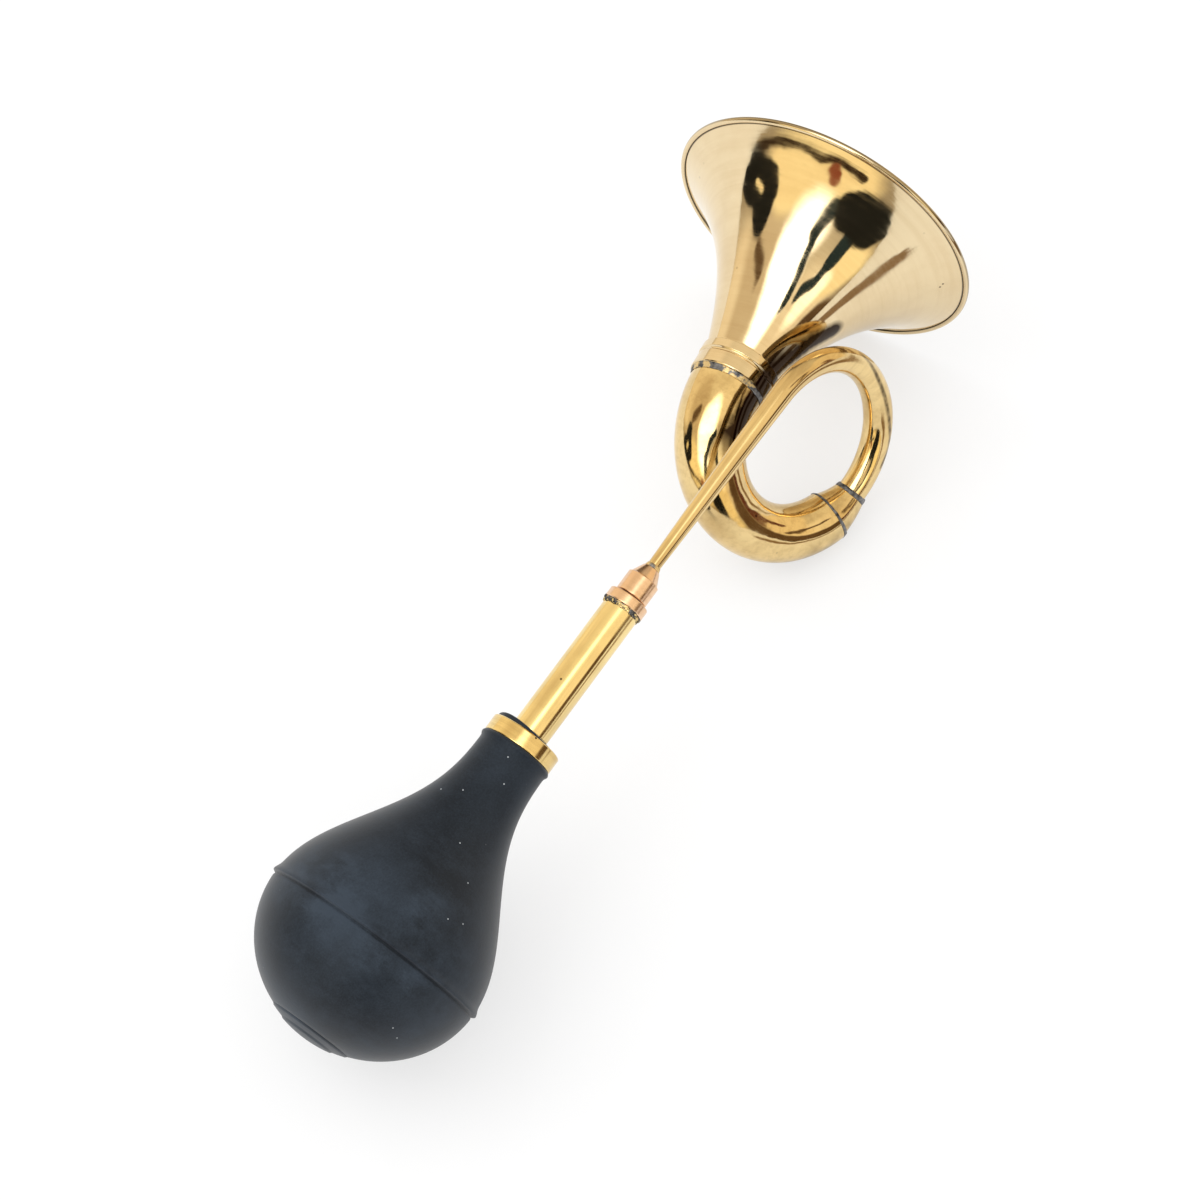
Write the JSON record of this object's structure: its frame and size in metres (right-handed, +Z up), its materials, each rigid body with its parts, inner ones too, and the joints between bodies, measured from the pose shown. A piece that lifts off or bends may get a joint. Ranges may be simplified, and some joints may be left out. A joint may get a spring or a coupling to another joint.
{
  "type": "bulb horn",
  "caption": "Brass bulb horn with a coiled conical tube, a flared bell, a reed barrel and a black rubber squeeze bulb.",
  "frame": {"origin": "middle of the horn's outline on the table, at the table's height", "axes": "+X from the bulb to the bell's mouth, +Y to the side the bell's mouth leans to, +Z up from the table"},
  "size_m": [0.3712, 0.1422, 0.1219],
  "materials": {
    "polished_brass": "polished",
    "warm_brass": "satin",
    "spring_brass": "satin",
    "solder": "dull",
    "steel": "dull",
    "leather": "matte",
    "rubber": "matte"
  },
  "bodies": {
    "trumpet": {"bell": "polished_brass", "rim_wire": "steel", "neck_ferrule": "polished_brass", "neck_solder": "solder", "large_crook": "polished_brass", "crook_sleeve": "polished_brass", "sleeve_solder": "solder", "lead_tube": "polished_brass", "stem_solder": "solder", "coupling": "warm_brass", "reed_plug": "warm_brass", "shallot": "warm_brass", "reed_clamp": "warm_brass", "reed_screws": "steel"},
    "reed": {"reed_tongue": "spring_brass"},
    "washer": {"seal_washer": "leather"},
    "barrel": {"barrel_ring": "warm_brass", "barrel_solder": "solder", "barrel": "polished_brass"},
    "bulb_neck": {"bulb_collar": "polished_brass", "bulb_shoulder": "rubber"},
    "bulb_end": {"bulb_base": "rubber", "bulb_plug": "rubber"}
  },
  "joints": [
    {"name": "reed_beat", "type": "hinge", "parent": "trumpet", "child": "reed", "pos_m": [-0.01251, -0.02901, 0.06469], "axis": [0.1418, -0.4744, -0.8688], "range_deg": [0, 3.5], "stiffness_Nm_per_rad": 0.005},
    {"name": "thread_travel", "type": "slide", "parent": "trumpet", "child": "washer", "axis": [-0.9869, 0, -0.161], "range_m": [0, 0.0063]},
    {"name": "barrel_unscrew", "type": "hinge", "parent": "washer", "child": "barrel", "pos_m": [0.0009, -0.02809, 0.06637], "axis": [-0.9869, 0, -0.161], "range_deg": [0, 1800]},
    {"name": "bulb_pull_off", "type": "slide", "parent": "barrel", "child": "bulb_neck", "axis": [-0.9869, 0, -0.161], "range_m": [0, 0.06]},
    {"name": "bulb_squeeze", "type": "slide", "parent": "bulb_neck", "child": "bulb_end", "axis": [0.9869, 0, 0.161], "range_m": [0, 0.045], "stiffness_N_per_m": 500, "springref_m": -0.004, "deforming": ["bulb_shoulder"]}
  ],
  "couplings": [
    {"joint": "thread_travel", "follows": "barrel_unscrew", "m_per_rad": 0.00019894}
  ]
}
